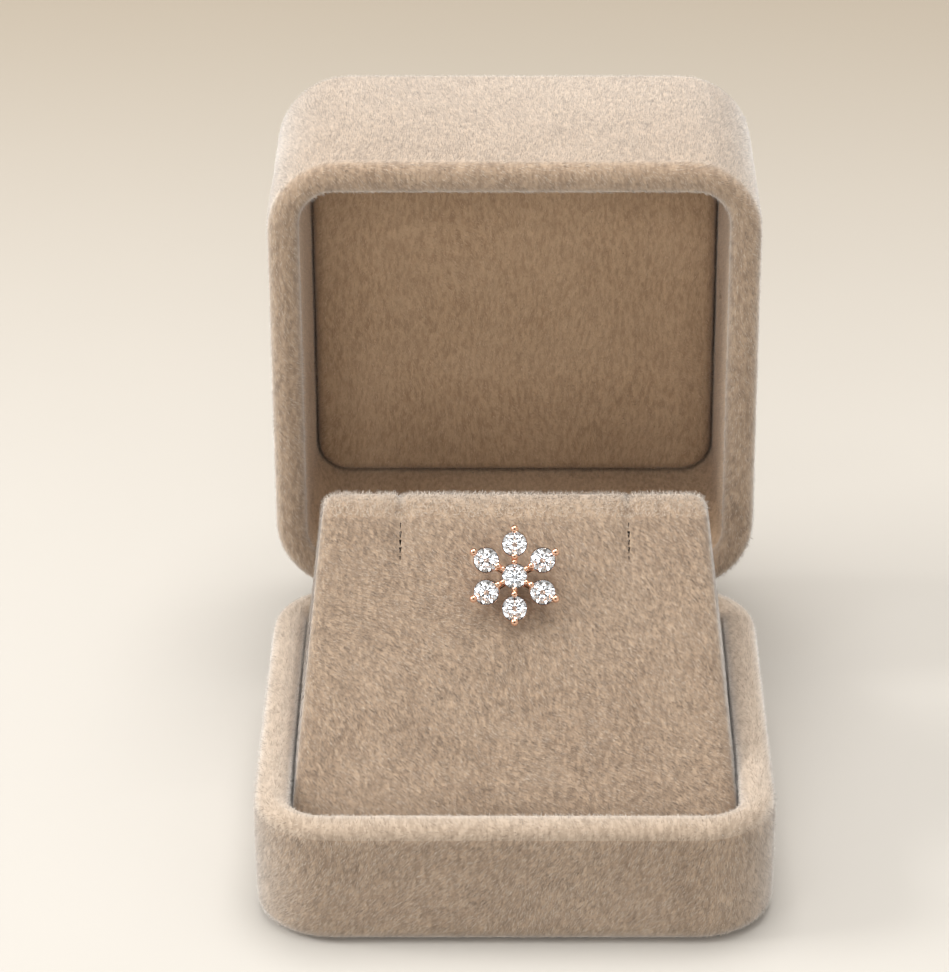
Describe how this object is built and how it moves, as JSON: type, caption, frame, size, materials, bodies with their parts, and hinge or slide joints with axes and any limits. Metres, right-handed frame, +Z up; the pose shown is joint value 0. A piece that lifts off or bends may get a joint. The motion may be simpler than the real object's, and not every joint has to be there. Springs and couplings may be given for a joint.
{
  "type": "nose stud in a jewellery box",
  "caption": "Flower-shaped nose stud of round brilliants in rose gold, pinned to the sloping velvet pad of a hinged jewellery box standing open",
  "frame": {"origin": "middle of the tray's underside, on the surface that the box stands on", "axes": "+X to the right as the box is looked into, +Y to the back where the lid stands, +Z up"},
  "size_m": [0.05, 0.0749, 0.0607],
  "materials": {
    "velvet": "short-pile velvet, warm beige",
    "lining_velvet": "short-pile velvet, brown-taupe in the lid's shade",
    "rose_gold": "polished rose gold",
    "stone": "clear, faceted, polished",
    "hinge": "plain satin metal"
  },
  "bodies": {
    "box": {"tray": "velvet", "pad": "velvet", "stud_frame": "rose_gold", "centre_stone": "stone", "petal_stone_1": "stone", "petal_stone_2": "stone", "petal_stone_3": "stone", "petal_stone_4": "stone", "petal_stone_5": "stone", "petal_stone_6": "stone", "hinge_tray_leaf": "hinge"},
    "lid": {"lid_shell": "velvet", "lid_lining": "lining_velvet", "hinge_lid_leaf": "hinge"}
  },
  "joints": [
    {"name": "lid_hinge", "type": "hinge", "parent": "box", "child": "lid", "pos_m": [0, 0.02325, 0.01325], "axis": [1, 0, 0], "range_deg": [0, 90]}
  ]
}
